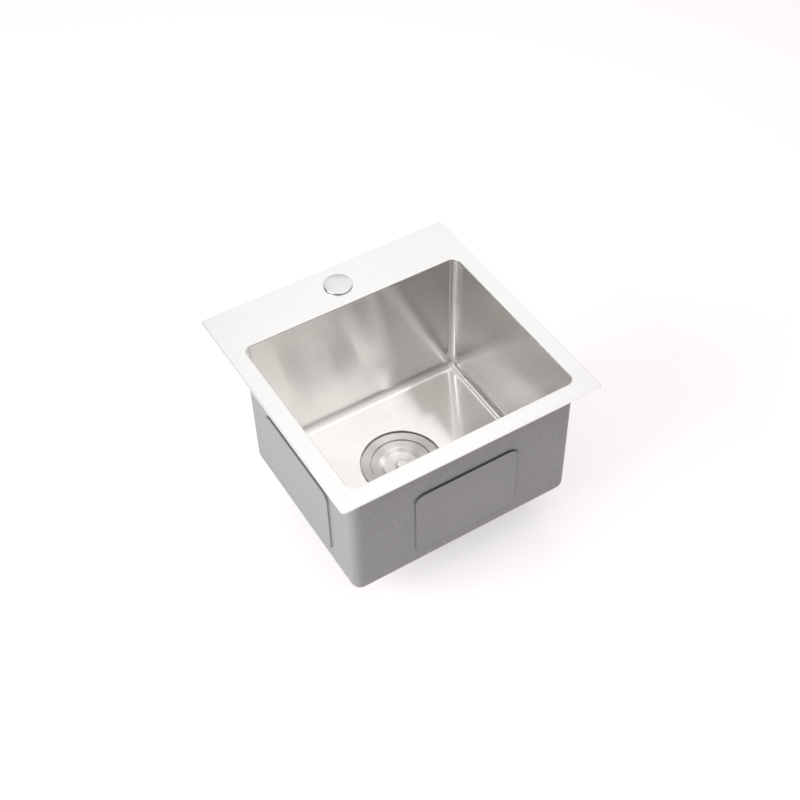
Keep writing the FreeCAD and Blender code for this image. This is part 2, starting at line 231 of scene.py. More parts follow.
def lay_grain_straight(piece):
    """Runs the sheen across the whole piece, as on sheet brushed left to right."""
    piece.data.use_auto_texspace = False
    piece.data.texspace_location = (0.0, -grain_centre_distance, 0.0)
    piece.data.texspace_size = (grain_span, grain_span, grain_span)


def even_sides(count):
    """Even steps along each of the four sides of a rectangle."""
    return [[step / count for step in range(1, count)]] * 4


def rounded_rectangle(low, high, radius, sides, around):
    """Plan points round a rectangle with round corners, from the front left corner."""
    middles = [
        (low.x + radius, low.y + radius),
        (high.x - radius, low.y + radius),
        (high.x - radius, high.y - radius),
        (low.x + radius, high.y - radius),
    ]
    points = []
    for index, (x, y) in enumerate(middles):
        start = math.pi * (1 + index / 2)
        for step in range(around + 1):
            turn = start + math.pi / 2 * step / around
            points.append(Vector((x + radius * math.cos(turn), y + radius * math.sin(turn))))
        first = points[-1]
        next_x, next_y = middles[(index + 1) % len(middles)]
        last_turn = start + math.pi / 2
        last = Vector((next_x + radius * math.cos(last_turn), next_y + radius * math.sin(last_turn)))
        for share in sides[index]:
            points.append(first.lerp(last, share))
    return points


def circle(centre, radius, count):
    """Plan points round a circle."""
    points = []
    for index in range(count):
        turn = 2 * math.pi * index / count
        points.append(Vector((centre.x + radius * math.cos(turn), centre.y + radius * math.sin(turn))))
    return points


def level_loop(mesh, plan, height):
    return [mesh.verts.new((point.x, point.y, height)) for point in plan]


def skin(mesh, loops):
    """Faces between each loop of points and the next."""
    for first, second in zip(loops, loops[1:]):
        for index in range(len(first)):
            following = (index + 1) % len(first)
            mesh.faces.new((first[index], first[following], second[following], second[index]))


def fill(mesh, loops):
    """One flat face, in triangles, inside the first loop and outside the others."""
    edges = []
    for points in loops:
        for index, point in enumerate(points):
            edges.append(mesh.edges.get((points[index - 1], point)))
    bmesh.ops.triangle_fill(mesh, use_beauty=True, edges=edges)


def finish_piece(mesh, name, sharp_degrees):
    """Turns the built mesh into a smooth-shaded piece with its hard edges kept."""
    bmesh.ops.remove_doubles(mesh, verts=mesh.verts, dist=weld_distance)
    bmesh.ops.recalc_face_normals(mesh, faces=mesh.faces)
    data = bpy.data.meshes.new(name)
    mesh.to_mesh(data)
    mesh.free()
    data.shade_smooth()
    data.set_sharp_from_angle(angle=math.radians(sharp_degrees))
    piece = bpy.data.objects.new(name, data)
    bpy.context.collection.objects.link(piece)
    piece.modifiers.new("even_flats", "WEIGHTED_NORMAL").keep_sharp = True
    return piece


def fit_piece(piece, material, body, slot, *nodes):
    """Gives a piece its finish, and the body and solids that it stands for."""
    piece.data.materials.append(material)
    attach(piece, body)
    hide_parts(*nodes)


def edge_levels(round_radius, low, high):
    """Inset and height of each loop up a plate's side and over its rounded top edge."""
    levels = [(0.0, low), (0.0, high - round_radius)]
    for step in range(1, edge_steps + 1):
        turn = math.pi / 2 * step / edge_steps
        levels.append((round_radius * (1 - math.cos(turn)), high - round_radius * (1 - math.sin(turn))))
    levels.append((round_radius + flat_margin, high))
    return levels


def build_rim_plate():
    mesh = bmesh.new()
    sides = even_sides(rim_side_steps)
    outer = []
    inner = []
    for inset, height in edge_levels(rim_edge_round, deck_low.z, deck_high.z):
        margin = Vector((inset, inset))
        low = deck_low.xy + margin
        high = deck_high.xy - margin
        plan = rounded_rectangle(low, high, rim_corner_radius - inset, sides, rim_corner_steps)
        outer.append(level_loop(mesh, plan, height))
        low = bowl_inside_low - margin
        high = bowl_inside_high + margin
        plan = rounded_rectangle(low, high, bowl_radius + inset, sides, bowl_corner_steps)
        inner.append(level_loop(mesh, plan, height))
    hole = []
    for inset, height in edge_levels(tap_hole_round, deck_low.z, deck_high.z):
        hole.append(level_loop(mesh, circle(tap_centre, tap_hole_radius + inset, tap_hole_steps), height))
    for loops in (outer, inner, hole):
        skin(mesh, loops)
    fill(mesh, [outer[-1], inner[-1], hole[-1]])
    fill(mesh, [outer[0], inner[0], hole[0]])
    return finish_piece(mesh, "rim_plate", sharp_degrees=50)


rim_plate = build_rim_plate()
lay_grain_straight(rim_plate)
rim_steel = brushed_steel("rim_steel", (0.83, 0.82, 0.808), straight_lay, roughness=0.34, anisotropy=0.4)
fit_piece(rim_plate, rim_steel, "sink", "rim_steel", "deck_plate")


# Bowl: 1.2 mm stainless sheet, folded with tight corners and welded under the rim. Its bottom is
# creased from the corners to the drain, with a pressed seat for the drain flange.
bottom_fall = 6.0 * MM
seat_step = 1.5 * MM
seat_radius = 58.8 * MM
seat_shoulder = 1.2 * MM
drain_hole_radius = 46.4 * MM
crease_sharpness = 32.0
shoulder_steps = 4
bowl_side_steps = 36
bowl_wall_rows = 8
bowl_floor_rows = 24
bowl_colour = (0.825, 0.803, 0.785)
wall_roughness = 0.19
bottom_polish = 0.08
fold_scuff = 0.2
seat_shade_share = 0.45
side_wall_facing = 0.97
seat_z = bowl_low.z + steel
foot_z = seat_z + seat_step + bottom_fall
fold_top = foot_z + bowl_radius
drain_low, drain_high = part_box("drain_body")
drain_centre = Vector((0.0, (drain_low.y + drain_high.y) / 2))
floor_low = bowl_inside_low + Vector((bowl_radius, bowl_radius))
floor_high = bowl_inside_high - Vector((bowl_radius, bowl_radius))


def bottom_height(point):
    """Height of the bowl's bottom, which falls along four creases to the drain."""
    shares = [
        (point.x - floor_low.x) / (drain_centre.x - floor_low.x),
        (floor_high.x - point.x) / (floor_high.x - drain_centre.x),
        (point.y - floor_low.y) / (drain_centre.y - floor_low.y),
        (floor_high.y - point.y) / (floor_high.y - drain_centre.y),
    ]
    total = sum(math.exp(-crease_sharpness * share) for share in shares)
    return foot_z + bottom_fall * math.log(total) / crease_sharpness


def bowl_skin(mesh, grow, heights, end_radius, sides, around, floor_rows):
    """Loops of the bowl's form, grown outwards, from its top edge down to the drain seat."""
    margin = Vector((grow, grow))
    low = bowl_inside_low - margin
    high = bowl_inside_high + margin
    corner = bowl_radius + grow
    wall = rounded_rectangle(low, high, corner, sides, around)
    loops = [level_loop(mesh, wall, height) for height in heights]
    for step in range(around + 1):
        turn = math.pi / 2 * step / around
        inset = corner * (1 - math.cos(turn))
        margin = Vector((inset, inset))
        plan = rounded_rectangle(low + margin, high - margin, max(corner - inset, 0.0), sides, around)
        loops.append(level_loop(mesh, plan, fold_top - corner * math.sin(turn)))
    wide_corner = 5 * bowl_radius
    round_plan = rounded_rectangle(floor_low, floor_high, wide_corner, sides, around)
    rays = [(point - drain_centre).normalized() for point in round_plan]
    edge = rounded_rectangle(floor_low, floor_high, 0.0, sides, around)
    rim = end_radius + seat_shoulder
    for row in range(1, floor_rows + 1):
        loop = []
        for start, ray in zip(edge, rays):
            point = start.lerp(drain_centre + rim * ray, row / floor_rows)
            loop.append(mesh.verts.new((point.x, point.y, bottom_height(point) - grow)))
        loops.append(loop)
    return loops, rays


def seat_skin(mesh, grow, rays):
    """Loops over the seat's rounded shoulder, down its wall and across to the drain hole."""
    radius = seat_radius + grow
    loops = []
    for step in range(1, shoulder_steps + 1):
        turn = math.pi / 2 * step / shoulder_steps
        reach = radius + seat_shoulder * (1 - math.sin(turn))
        drop = seat_shoulder * (1 - math.cos(turn))
        loop = []
        for ray in rays:
            point = drain_centre + (radius + seat_shoulder) * ray
            place = drain_centre + reach * ray
            loop.append(mesh.verts.new((place.x, place.y, bottom_height(point) - grow - drop)))
        loops.append(loop)
    for reach in (radius, drain_hole_radius):
        plan = [drain_centre + reach * ray for ray in rays]
        loops.append(level_loop(mesh, plan, seat_z - grow))
    return loops


def build_bowl():
    mesh = bmesh.new()
    drop = fold_top - bowl_high.z
    heights = [bowl_high.z + drop * row / bowl_wall_rows for row in range(bowl_wall_rows)]
    sides = even_sides(bowl_side_steps)
    faces = []
    for grow in (0.0, steel):
        loops, rays = bowl_skin(
            mesh, grow, heights, seat_radius + grow, sides, bowl_corner_steps, bowl_floor_rows)
        faces.append(loops + seat_skin(mesh, grow, rays))
    inside, outside = faces
    skin(mesh, inside + outside[::-1] + inside[:1])
    return finish_piece(mesh, "bowl_shell", sharp_degrees=60)


def upright_lay(finish, along, across):
    """Grain that runs up, where the sheet is folded up at the sides."""
    x, y, z = finish.axes(finish.place())
    return finish.vector(x * across, y * across, z * along)


def drain_radius(finish):
    """Distance from the drain's axis."""
    x, y, z = finish.axes(finish.place())
    off = y - drain_centre.y
    return (x * x + off * off + 1e-8) ** 0.5


def fold_roughness(finish):
    """Roughness of the bowl: the folds are brushed again by hand, so they are duller than the sheet."""
    level = finish.axes(finish.node("ShaderNodeNewGeometry", {}, {}, "Normal"))[2]
    flat = finish.rise(level, 0.88, 0.98)
    fold = finish.rise(level, 0.05, 0.3) * (1.0 - flat)
    return wall_roughness - bottom_polish * flat + fold_scuff * fold


def seat_painted_shade(finish):
    """Painted shade: a darker colour in the recess round the drain flange, where shade falls."""
    outside = finish.rise(drain_radius(finish), seat_radius, seat_radius + seat_shoulder)
    return seat_shade_share * (1.0 - outside)


bowl_shell = build_bowl()
lay_grain_straight(bowl_shell)
bowl_steel = brushed_steel(
    "bowl_steel", bowl_colour, straight_lay, fold_roughness, anisotropy=1.0, stain_and_shade=seat_painted_shade)
side_steel = brushed_steel(
    "side_steel", bowl_colour, upright_lay, roughness=0.22, anisotropy=1.0, sheen_turn=0.0)
fit_piece(bowl_shell, bowl_steel, "sink", "bowl_steel", "bowl")
# The side walls take a second finish, because the sheet's grain stands upright there.
bowl_shell.data.materials.append(side_steel)
for face in bowl_shell.data.polygons:
    face.material_index = int(abs(face.normal.x) > side_wall_facing)


# Sound pads: die-cut sheets of black rubber, glued to the four walls and beside the drain seat
# before spraying. Only the coat over them shows.
pad_names = ["front_pad", "back_pad", "left_pad", "right_pad", "bottom_left_pad", "bottom_right_pad"]


def moulded_rubber(name, colour, speck):
    """Dull black rubber with a dusty bloom and fine pits."""
    finish = new_finish(name)
    bloom = finish.cloud(finish.place(), 60.0, 4.0)
    pits = finish.cloud(finish.place(), speck, 2.0)
    pale = [part + 0.05 for part in colour]
    return finish.surface({
        "Base Color": finish.mixed(finish.rise(bloom, 0.35, 0.8), colour, pale),
        "Roughness": 0.62 + 0.25 * bloom,
        "Normal": finish.bump(pits, 0.25, 0.1 * MM),
    })


def dress_solids(material, *nodes):
    """Gives their finish to solids that are shown as they are."""
    for node in nodes:
        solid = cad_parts[node]
        solid.data.materials.clear()
        solid.data.materials.append(material)


pad_rubber = moulded_rubber("pad_rubber", (0.03, 0.03, 0.03), speck=900.0)
dress_solids(pad_rubber, *pad_names)


# Sprayed coat: grey sound-deadening paint over the outside of the bowl and its pads. It dries with
# a fine orange-peel speckle and bridges the pads' edges. The dark lines along those edges are painted
# shade, darkest along the tops under the rim.
coat = 0.8 * MM
coat_low, coat_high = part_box("undercoat")
coat_bare_gap = 2.0 * MM
pad_thickness = 3.0 * MM
pad_corner_radius = 13.0 * MM
top_skirt = 1.2 * MM
side_skirt = 3.0 * MM
bottom_skirt = 5.0 * MM
shade_line_inside = 0.3 * MM
shade_line_outside = 1.8 * MM
edge_shade_fade = 400.0 * MM
edge_shade_share = 0.6
top_edge_shade_share = 0.4
edge_shade_darkness = 0.95
wall_facing = 0.9
fine_step = 0.75 * MM
coarse_step = 4.0 * MM
coat_corner_steps = 8
coat_floor_rows = 40
inner_row_step = 16
inner_floor_rows = 6
peel = 0.05 * MM
peel_size = 4.0 * MM


class PadOutline:
    """Outline of one pad, in the plane of the wall that it lies on."""

    def __init__(self, low, high):
        size = high - low
        self.flat = min(range(3), key=lambda axis: size[axis])
        self.plane = [axis for axis in range(3) if axis != self.flat]
        self.on_bottom = self.flat == 2
        self.on_front_or_back = self.flat == 1
        off_centre = low[self.flat] + high[self.flat] - coat_low[self.flat] - coat_high[self.flat]
        self.outward = math.copysign(1.0, off_centre)
        self.middle = (low + high) / 2
        self.half = size / 2
        self.top = high.z

    def past_corners(self, place):
        """How far a point lies past the middles of the corner arcs, along each side."""
        past = []
        for axis in self.plane:
            past.append(abs(place[axis] - self.middle[axis]) - self.half[axis] + pad_corner_radius)
        return past

    def gap(self, place, facing):
        """Distance outside the outline, or a large one on another wall."""
        if facing[self.flat] * self.outward < wall_facing:
            return 1.0
        side, rise = self.past_corners(place)
        return math.hypot(max(side, 0.0), max(rise, 0.0)) + min(max(side, rise), 0.0) - pad_corner_radius

    def upward(self, place):
        """How squarely the edge next to a point faces up."""
        side, rise = [max(part, 0.0) for part in self.past_corners(place)]
        if rise == 0.0 or place.z < self.middle.z:
            return 0.0
        return rise / math.hypot(side, rise)

    def skirt(self, place):
        """Width of the paint's slope from the pad to the bowl: steep along the top, easy elsewhere."""
        if self.on_bottom:
            return bottom_skirt
        return side_skirt + (top_skirt - side_skirt) * self.upward(place)

    def edge_shade(self, place):
        """Share of painted shade at the edge: most along the tops in front and behind, less lower down.
        """
        if self.on_bottom:
            return 0.0
        top = self.upward(place) ** 2 if self.on_front_or_back else 0.0
        return (edge_shade_share + top_edge_shade_share * top) * max(1.0 - (self.top - place.z) / edge_shade_fade, 0.0)


pad_outlines = [PadOutline(*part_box(pad_name)) for pad_name in pad_names]


def fine_places(start, end, low, high):
    """Places from start to end, close together round the edges and corners of a pad from low to high."""
    places = [start]
    while end - places[-1] > coarse_step:
        inside = min(places[-1] - low, high - places[-1])
        near = -2 * coarse_step < inside < pad_corner_radius + coarse_step
        places.append(places[-1] + (fine_step if near else coarse_step))
    return places + [end]


def side_steps(pad_name, axis):
    """Shares along the wall that carries a pad."""
    low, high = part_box(pad_name)
    places = fine_places(floor_low[axis], floor_high[axis], low[axis], high[axis])
    return [(place - places[0]) / (places[-1] - places[0]) for place in places[1:-1]]


def smooth_fall(distance, width):
    """Smooth fall from 1 to 0 over a width."""
    share = min(max(distance / width, 0.0), 1.0)
    return 1 - share * share * (3 - 2 * share)


def build_coat():
    mesh = bmesh.new()
    shadow = mesh.verts.layers.float.new("pad_edge_shade")
    bare = seat_radius + steel + coat_bare_gap
    sides = [
        side_steps("front_pad", 0),
        side_steps("right_pad", 1),
        [1.0 - share for share in side_steps("back_pad", 0)[::-1]],
        [1.0 - share for share in side_steps("left_pad", 1)[::-1]],
    ]
    pad_low, pad_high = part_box("front_pad")
    heights = fine_places(fold_top, coat_high.z, pad_low.z, pad_high.z)[:0:-1]
    outside, rays = bowl_skin(
        mesh, steel + coat, heights, bare, sides, coat_corner_steps, coat_floor_rows)
    inside, rays = bowl_skin(
        mesh, steel, heights[::inner_row_step], bare, sides, coat_corner_steps, inner_floor_rows)
    skin(mesh, outside + inside[::-1] + outside[:1])
    bmesh.ops.recalc_face_normals(mesh, faces=mesh.faces)
    mesh.normal_update()
    for loop in outside[1:-1]:
        for point in loop:
            gaps = [outline.gap(point.co, point.normal) for outline in pad_outlines]
            gap = min(gaps)
            outline = pad_outlines[gaps.index(gap)]
            skirt = outline.skirt(point.co)
            raised = pad_thickness * smooth_fall(gap, skirt)
            grainy = peel * noise.noise(point.co / peel_size)
            # Painted shade: points along a pad's edge get a share of dark colour.
            if -shade_line_inside < gap < min(skirt, shade_line_outside):
                point[shadow] = outline.edge_shade(point.co)
            point.co += point.normal * (raised + grainy)
    return finish_piece(mesh, "sprayed_coat", sharp_degrees=60)


def sprayed_paint():
    """Matt grey sprayed paint with speckle and dust, and painted shade as dark lines along the pad edges.
    """
    finish = new_finish("sprayed_coat")
    place = finish.place()
    speckle = finish.rise(finish.cloud(place, 450.0, 2.0), 0.3, 0.7)
    grit = finish.cloud(place, 420.0, 3.0)
    patch = finish.cloud(place, 12.0, 3.0)
    paint = finish.mixed(0.6 * speckle + 0.4 * patch, (0.292, 0.286, 0.282), (0.416, 0.410, 0.405))
    thin = finish.node("ShaderNodeAttribute", {"attribute_name": "pad_edge_shade"}, {}, "Fac")
    edge_shade_colour = (0.014, 0.013, 0.013, 1.0)
    return finish.surface({
        # The dark colour along the pad edges is painted shade.
        "Base Color": finish.blended(thin * edge_shade_darkness, paint, edge_shade_colour),
        "Roughness": 0.52 + 0.2 * grit,
        "Normal": finish.bump(0.6 * grit + 0.4 * speckle, 0.35, 0.25 * MM),
    })


coat_shell = build_coat()
fit_piece(coat_shell, sprayed_paint(), "sink", "sprayed_coat", "undercoat")


# Rim seal: a strip of closed-cell foam tape, stuck all round under the rim. It beds on the worktop.
# Its profile is given in millimetres, inwards from the strip's outer edge and up from its foot.
seal_low, seal_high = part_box("rim_seal")
seal_corner_radius = 1.6 * MM
seal_side_steps = 30
seal_corner_steps = 4
seal_profile = [(0.0, 0.0), (-0.6, 0.5), (-0.6, 1.5), (0.0, 2.0), (4.0, 2.0), (6.0, 2.0),
                (10.0, 2.0), (10.6, 1.5), (10.6, 0.5), (10.0, 0.0), (6.0, 0.0), (4.0, 0.0)]


def build_rim_seal():
    mesh = bmesh.new()
    sides = even_sides(seal_side_steps)
    loops = []
    for inset, height in seal_profile:
        margin = Vector((inset, inset)) * MM
        low = seal_low.xy + margin
        high = seal_high.xy - margin
        plan = rounded_rectangle(low, high, seal_corner_radius, sides, seal_corner_steps)
        loops.append(level_loop(mesh, plan, seal_low.z + height * MM))
    skin(mesh, loops + loops[:1])
    return finish_piece(mesh, "foam_strip", sharp_degrees=70)


foam_strip = build_rim_seal()
seal_foam = moulded_rubber("seal_foam", (0.06, 0.06, 0.06), speck=500.0)
fit_piece(foam_strip, seal_foam, "sink", "seal_foam", "rim_seal")


# Drain body: pressed stainless, with a turned flange that clamps the bowl, a ledge for the basket
# and a cup with a rolled thread. Its flange is brushed in rings.
flange_radius = 57.0 * MM
lip_radius = 44.6 * MM
cup_radius = 40.2 * MM
body_sheet = 1.2 * MM
ledge_drop = 5.0 * MM
outlet_bore = 21.5 * MM
thread_pitch = 2.0 * MM
thread_depth = 0.7 * MM
thread_rows_per_turn = 8
crest_tolerance = 0.01 * MM
arc_steps = 6
ring_stretch = 0.2
drain_colour = (0.80, 0.78, 0.765)
flange_z = drain_high.z
ledge_z = flange_z - ledge_drop


def rounded_outline(corners):
    """Outline through corners of radius, height and rounding, each rounded by an arc."""
    outline = []
    for index, (radius, height, rounding) in enumerate(corners):
        here = Vector((radius, height))
        if not rounding:
            outline.append(here)
            continue
        back = (Vector(corners[index - 1][:2]) - here).normalized()
        ahead = (Vector(corners[(index + 1) % len(corners)][:2]) - here).normalized()
        half = back.angle(ahead) / 2
        middle = here + (back + ahead).normalized() * rounding / math.sin(half)
        first = here + back * rounding / math.tan(half) - middle
        last = here + ahead * rounding / math.tan(half) - middle
        sweep = math.atan2(first.cross(last), first.dot(last))
        for step in range(arc_steps + 1):
            turn = sweep * step / arc_steps
            across = first.x * math.cos(turn) - first.y * math.sin(turn)
            up = first.x * math.sin(turn) + first.y * math.cos(turn)
            outline.append(middle + Vector((across, up)))
    return outline


def turned_piece(name, outline, centre, segments, form=None):
    """Solid of revolution. form may change a point's radius and height by the turn it is at."""
    mesh = bmesh.new()
    loops = []
    for radius, height in outline:
        loop = []
        for index in range(segments):
            turn = 2 * math.pi * index / segments
            reach, level = form(radius, height, turn) if form else (radius, height)
            x = centre.x + reach * math.cos(turn)
            y = centre.y + reach * math.sin(turn)
            loop.append(mesh.verts.new((x, y, level)))
        loops.append(loop)
    skin(mesh, loops + loops[:1])
    return finish_piece(mesh, name, sharp_degrees=35)


def thread_rows(radius, top, bottom):
    """Points down a threaded wall, close enough to carry the thread."""
    rows = round((top - bottom) / thread_pitch * thread_rows_per_turn)
    return [Vector((radius, top + (bottom - top) * row / rows)) for row in range(rows + 1)]


def rolled_thread(crest, top, bottom, cut):
    """Form of a thread that fades at both ends; cut is negative for a thread inside a bore."""
    def form(radius, height, turn):
        if abs(radius - crest) > crest_tolerance or not bottom <= height <= top:
            return radius, height
        phase = (height / thread_pitch + turn / (2 * math.pi)) % 1.0
        fade = min(1.0, (top - height) / thread_pitch, (height - bottom) / thread_pitch)
        return radius - cut * fade * abs(2 * phase - 1), height
    return form


def ring_lay(finish, along, across):
    """Grain that runs in rings round the drain."""
    x, y, z = finish.axes(finish.place())
    radius = drain_radius(finish)
    off = y - drain_centre.y
    round_x = x / radius * along * ring_stretch
    round_y = off / radius * along * ring_stretch
    return finish.vector(round_x, round_y, (radius + z) * across)


def build_drain_body():
    cup_top = ledge_z - body_sheet
    outline = rounded_outline([
        (outlet_bore, drain_low.z, 0.0),
        (outlet_bore, drain_low.z + body_sheet, 0.3 * MM),
        (cup_radius - body_sheet, drain_low.z + body_sheet, 2.0 * MM),
        (cup_radius - body_sheet, ledge_z, 0.8 * MM),
        (lip_radius, ledge_z, 0.0),
        (lip_radius, flange_z, 0.4 * MM),
        (flange_radius, flange_z, 1.0 * MM),
        (flange_radius, flange_z - body_sheet, 0.0),
        (lip_radius + body_sheet, flange_z - body_sheet, 0.0),
        (lip_radius + body_sheet, cup_top, 0.5 * MM),
    ])
    outline += thread_rows(cup_radius, cup_top, drain_low.z)
    form = rolled_thread(cup_radius, cup_top - 1.0 * MM, drain_low.z + 1.0 * MM, thread_depth)
    return turned_piece("drain_cup", outline, drain_centre, segments=160, form=form)


drain_cup = build_drain_body()
drain_steel = brushed_steel("drain_steel", drain_colour, ring_lay, roughness=0.44, anisotropy=1.0)
fit_piece(drain_cup, drain_steel, "sink", "drain_steel", "drain_body")


# Drain outlet: a short threaded tube with a collar, brazed under the cup. The trap screws on here.
outlet_low, outlet_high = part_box("drain_outlet")
outlet_radius = 23.9 * MM
outlet_collar_radius = 29.0 * MM
outlet_collar_height = 2.5 * MM


def build_outlet():
    collar_z = outlet_high.z - outlet_collar_height
    outline = rounded_outline([
        (outlet_radius, outlet_low.z, 0.6 * MM),
        (outlet_bore, outlet_low.z, 0.6 * MM),
        (outlet_bore, outlet_high.z, 0.0),
        (outlet_collar_radius, outlet_high.z, 0.4 * MM),
        (outlet_collar_radius, collar_z, 0.4 * MM),
    ])
    outline += thread_rows(outlet_radius, collar_z, outlet_low.z + 1.2 * MM)
    form = rolled_thread(outlet_radius, collar_z - 1.0 * MM, outlet_low.z + 1.5 * MM, thread_depth)
    return turned_piece("outlet_tube", outline, drain_centre, segments=128, form=form)


fit_piece(build_outlet(), drain_steel, "sink", "drain_steel", "drain_outlet")


# Clamping rings: a thin seal under the flange, a thick rubber gasket under the bowl and a slippery
# plastic washer, so that the nut can turn without dragging the gasket round.
gasket_rubber = moulded_rubber("gasket_rubber", (0.02, 0.02, 0.02), speck=700.0)


def natural_plastic():
    """Milky polyethylene with faint moulding swirls."""
    finish = new_finish("washer_plastic")
    swirl = finish.cloud(finish.place(), 90.0, 3.0)
    return finish.surface({
        "Base Color": finish.mixed(swirl, (0.66, 0.64, 0.57), (0.78, 0.76, 0.70)),
        "Roughness": 0.4 + 0.15 * swirl,
        "Subsurface Weight": 0.1,
        "Normal": finish.bump(swirl, 0.1, 0.1 * MM),
    })


def build_ring(name, node, inner, rounding, centre):
    """Moulded ring as wide as its solid, with rounded edges."""
    low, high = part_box(node)
    outer = (high.x - low.x) / 2
    outline = rounded_outline([
        (inner, low.z, rounding),
        (outer, low.z, rounding),
        (outer, high.z, rounding),
        (inner, high.z, rounding),
    ])
    return turned_piece(name, outline, centre, segments=144)


flange_ring = build_ring("flange_ring", "flange_seal", drain_hole_radius, 0.3 * MM, drain_centre)
gasket_ring = build_ring("gasket_ring", "drain_gasket", drain_hole_radius, 1.2 * MM, drain_centre)
slip_ring = build_ring("slip_ring", "friction_washer", drain_hole_radius, 0.25 * MM, drain_centre)
fit_piece(flange_ring, gasket_rubber, "sink", "gasket_rubber", "flange_seal")
fit_piece(gasket_ring, gasket_rubber, "sink", "gasket_rubber", "drain_gasket")
fit_piece(slip_ring, natural_plastic(), "washer", "washer_plastic", "friction_washer")


# Locknut: a wide zinc casting with wrench lugs, threaded onto the cup. It pulls the flange down
# against the bowl.
nut_low, nut_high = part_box("locknut")
nut_bore = cup_radius + 0.06 * MM
nut_hub_radius = nut_bore + 6.0 * MM
nut_base_height = 3.5 * MM
lug_reach = 54.4 * MM
lug_width = 7.0 * MM
lug_flat = 0.38 * lug_width
lug_blend = 0.24 * lug_width
lugs = 6
hub_rounding = 1.5 * MM
nut_thread = rolled_thread(nut_bore, nut_high.z - 0.5 * MM, nut_low.z + 0.5 * MM, -thread_depth)


def nut_form(radius, height, turn):
    """Pushes the hub's wall out into the lugs, and cuts the thread in the bore."""
    if radius < nut_bore + crest_tolerance:
        return nut_thread(radius, height, turn)
    if abs(radius - nut_hub_radius) > hub_rounding:
        return radius, height
    spacing = 2 * math.pi / lugs
    off = abs((turn + spacing / 2) % spacing - spacing / 2) * radius
    return radius + (lug_reach - nut_hub_radius) * smooth_fall(off - lug_flat, lug_blend), height


def cast_zinc():
    """Dull cast zinc with a grainy skin and darker hollows."""
    finish = new_finish("nut_zinc")
    grain = finish.cloud(finish.place(), 700.0, 4.0)
    stain_and_shade = finish.cloud(finish.place(), 55.0, 4.0)
    return finish.surface({
        "Base Color": finish.mixed(stain_and_shade, (0.36, 0.365, 0.375), (0.60, 0.61, 0.62)),
        "Metallic": 1.0,
        "Roughness": 0.42 + 0.2 * grain,
        "Normal": finish.bump(grain, 0.3, 0.15 * MM),
    })


def build_locknut():
    rim = (nut_high.x - nut_low.x) / 2
    outline = rounded_outline([
        (rim, nut_high.z, 0.5 * MM),
        (rim, nut_high.z - nut_base_height, 0.8 * MM),
        (nut_hub_radius, nut_high.z - nut_base_height, 0.8 * MM),
        (nut_hub_radius, nut_low.z, 0.8 * MM),
        (nut_bore + 0.9 * MM, nut_low.z, 0.0),
    ])
    outline += thread_rows(nut_bore, nut_low.z + 0.4 * MM, nut_high.z)
    return turned_piece("wide_nut", outline, drain_centre, segments=240, form=nut_form)


fit_piece(build_locknut(), cast_zinc(), "nut", "nut_zinc", "locknut")


# Waste basket: thin stainless, pressed and pierced, with a bent strap spot-welded to its floor as a
# handle. It hangs in the drain body by its rim and lifts straight out.
basket_steel = brushed_steel("basket_steel", (0.66, 0.65, 0.64), ring_lay, roughness=0.2, anisotropy=0.3)
dress_solids(basket_steel, "waste_basket", "basket_handle")


# Drain lid: a pressed stainless disc with a dish for the fingers, brushed in rings, with a rubber
# ring below it. It rests on the basket's rim.
lid_low, lid_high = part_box("drain_lid")
lid_radius = (lid_high.x - lid_low.x) / 2
lid_sheet = 1.0 * MM
dish_depth = lid_high.z - lid_low.z - lid_sheet
dish_mouth_radius = 32.0 * MM
dish_floor_radius = 26.0 * MM
dish_roughness = 0.32
lid_edge_scuff = 0.12
screw_hole_radius = 2.02 * MM


def build_lid():
    floor_z = lid_high.z - dish_depth
    half = lid_sheet / 2
    outline = rounded_outline([
        (lid_radius, lid_high.z - lid_sheet, 0.2 * MM),
        (lid_radius, lid_high.z, 0.2 * MM),
        (dish_mouth_radius - half, lid_high.z, 4.0 * MM),
        (dish_floor_radius - half, floor_z, 4.0 * MM),
        (screw_hole_radius, floor_z, 0.0),
        (screw_hole_radius, lid_low.z, 0.0),
        (dish_floor_radius + half, lid_low.z, 5.0 * MM),
        (dish_mouth_radius + half, lid_high.z - lid_sheet, 3.0 * MM),
    ])
    return turned_piece("lid_disc", outline, drain_centre, segments=160)


def dish_polish(finish):
    """Roughness of the lid: brushed round its edge, smoother where the dish was pressed."""
    outside = finish.rise(drain_radius(finish), dish_mouth_radius - MM, dish_mouth_radius + MM)
    return dish_roughness + lid_edge_scuff * outside


lid_disc = build_lid()
lid_steel = brushed_steel("lid_steel", drain_colour, ring_lay, dish_polish, anisotropy=1.0)
fit_piece(lid_disc, lid_steel, "lid", "drain_steel", "drain_lid")
lid_seal_low, lid_seal_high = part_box("lid_seal")
lid_seal_inner = (lid_seal_high.x - lid_seal_low.x) / 2 - 4.5 * MM
lid_ring = build_ring("lid_ring", "lid_seal", lid_seal_inner, 0.3 * MM, drain_centre)
fit_piece(lid_ring, gasket_rubber, "lid", "gasket_rubber", "lid_seal")


# Lid knob: a turned and polished mushroom that stands in the dish, and the cross-head screw that
# holds it from below.
knob_low, knob_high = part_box("lid_knob")
knob_radius = (knob_high.x - knob_low.x) / 2
screw_low, screw_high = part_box("lid_screw")
screw_head_radius = (screw_high.x - screw_low.x) / 2
screw_radius = 2.0 * MM
screw_head_height = 2.4 * MM
screw_face_radius = 2.6 * MM
screw_face_rows = 12
recess_radius = 2.3 * MM
recess_depth = 1.1 * MM
recess_arm = 0.35 * MM
recess_slope = 0.25 * MM


def polished_metal(name, colour, roughness):
    """Polished plating with faint turning rings and cleaning marks."""
    finish = new_finish(name)
    marks = finish.cloud(finish.place(), 240.0, 3.0)
    haze = finish.cloud(finish.place(), 35.0, 3.0)
    dull = [0.93 * part for part in colour]
    return finish.surface({
        "Base Color": finish.mixed(haze, dull, colour),
        "Metallic": 1.0,
        "Roughness": roughness + 0.06 * marks + 0.05 * haze,
        "Normal": finish.bump(marks, 0.03, 0.05 * MM),
    })


